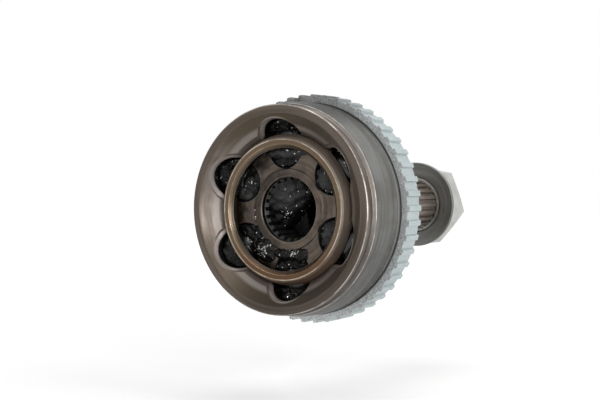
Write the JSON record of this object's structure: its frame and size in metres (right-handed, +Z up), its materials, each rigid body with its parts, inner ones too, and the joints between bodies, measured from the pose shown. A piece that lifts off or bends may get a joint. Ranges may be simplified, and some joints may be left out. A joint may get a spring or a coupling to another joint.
{
  "type": "cv joint",
  "caption": "Fixed ball-type constant-velocity joint for a wheel hub, with toothed speed ring, splined stub axle and flanged hub nut.",
  "frame": {"origin": "joint centre, where the shaft's axis and the stub axle's axis cross", "axes": "+Y along the axis towards the stub axle's threaded end, the bell's mouth faces -Y, +Z up, the articulation axis"},
  "size_m": [0.0974, 0.1417, 0.0974],
  "materials": {
    "bell_steel": "dark oiled forged and turned steel",
    "ring_zinc": "pale zinc plate, satin",
    "cage_steel": "ground steel, straw to bronze temper tint",
    "race_steel": "dark turned steel under thin grease",
    "washer_steel": "dark turned steel",
    "nut_zinc": "pale zinc plate, satin",
    "ball_steel": "polished bearing steel under dark grease"
  },
  "bodies": {
    "outer_race": {"outer_race": "bell_steel", "abs_ring": "ring_zinc"},
    "cage": {"cage": "cage_steel"},
    "inner_race": {"inner_race": "race_steel"},
    "ball_1": {"ball_1": "ball_steel"},
    "ball_2": {"ball_2": "ball_steel"},
    "ball_3": {"ball_3": "ball_steel"},
    "ball_4": {"ball_4": "ball_steel"},
    "ball_5": {"ball_5": "ball_steel"},
    "ball_6": {"ball_6": "ball_steel"},
    "nut_washer": {"nut_washer": "washer_steel"},
    "hub_nut": {"hub_nut": "nut_zinc"}
  },
  "joints": [
    {"name": "articulation", "type": "hinge", "parent": "outer_race", "child": "inner_race", "pos_m": [0, 0, 0], "axis": [0, 0, 1], "range_deg": [-45, 45]},
    {"name": "cage_tilt", "type": "hinge", "parent": "outer_race", "child": "cage", "pos_m": [0, 0, 0], "axis": [0, 0, 1], "range_deg": [-22.5, 22.5]},
    {"name": "ball_1_roll", "type": "hinge", "parent": "outer_race", "child": "ball_1", "pos_m": [0, -0.004, 0], "axis": [-0.5592, 0, 0.829], "range_deg": [-19.1, 19.1]},
    {"name": "ball_2_roll", "type": "hinge", "parent": "outer_race", "child": "ball_2", "pos_m": [0, -0.004, 0], "axis": [-0.9976, 0, -0.0698], "range_deg": [-1.7, 1.7]},
    {"name": "ball_3_roll", "type": "hinge", "parent": "outer_race", "child": "ball_3", "pos_m": [0, -0.004, 0], "axis": [-0.4384, 0, -0.8988], "range_deg": [-20.5, 20.5]},
    {"name": "ball_4_roll", "type": "hinge", "parent": "outer_race", "child": "ball_4", "pos_m": [0, -0.004, 0], "axis": [0.5592, 0, -0.829], "range_deg": [-19.1, 19.1]},
    {"name": "ball_5_roll", "type": "hinge", "parent": "outer_race", "child": "ball_5", "pos_m": [0, -0.004, 0], "axis": [0.9976, 0, 0.0698], "range_deg": [-1.7, 1.7]},
    {"name": "ball_6_roll", "type": "hinge", "parent": "outer_race", "child": "ball_6", "pos_m": [0, -0.004, 0], "axis": [0.4384, 0, 0.8988], "range_deg": [-20.5, 20.5]},
    {"name": "nut_travel", "type": "slide", "parent": "outer_race", "child": "nut_washer", "axis": [0, 1, 0], "range_m": [-0.00101, 0.00601]},
    {"name": "nut_turn", "type": "hinge", "parent": "nut_washer", "child": "hub_nut", "pos_m": [0, 0.115, 0], "axis": [0, 1, 0], "range_deg": [-240, 1440]}
  ],
  "couplings": [
    {"joint": "cage_tilt", "follows": "articulation", "ratio": 0.5},
    {"joint": "ball_1_roll", "follows": "articulation", "ratio": 0.4212},
    {"joint": "ball_2_roll", "follows": "articulation", "ratio": -0.0363},
    {"joint": "ball_3_roll", "follows": "articulation", "ratio": -0.4538},
    {"joint": "ball_4_roll", "follows": "articulation", "ratio": -0.4212},
    {"joint": "ball_5_roll", "follows": "articulation", "ratio": 0.0363},
    {"joint": "ball_6_roll", "follows": "articulation", "ratio": 0.4538},
    {"joint": "nut_travel", "follows": "nut_turn", "m_per_rad": 0.00023873}
  ]
}
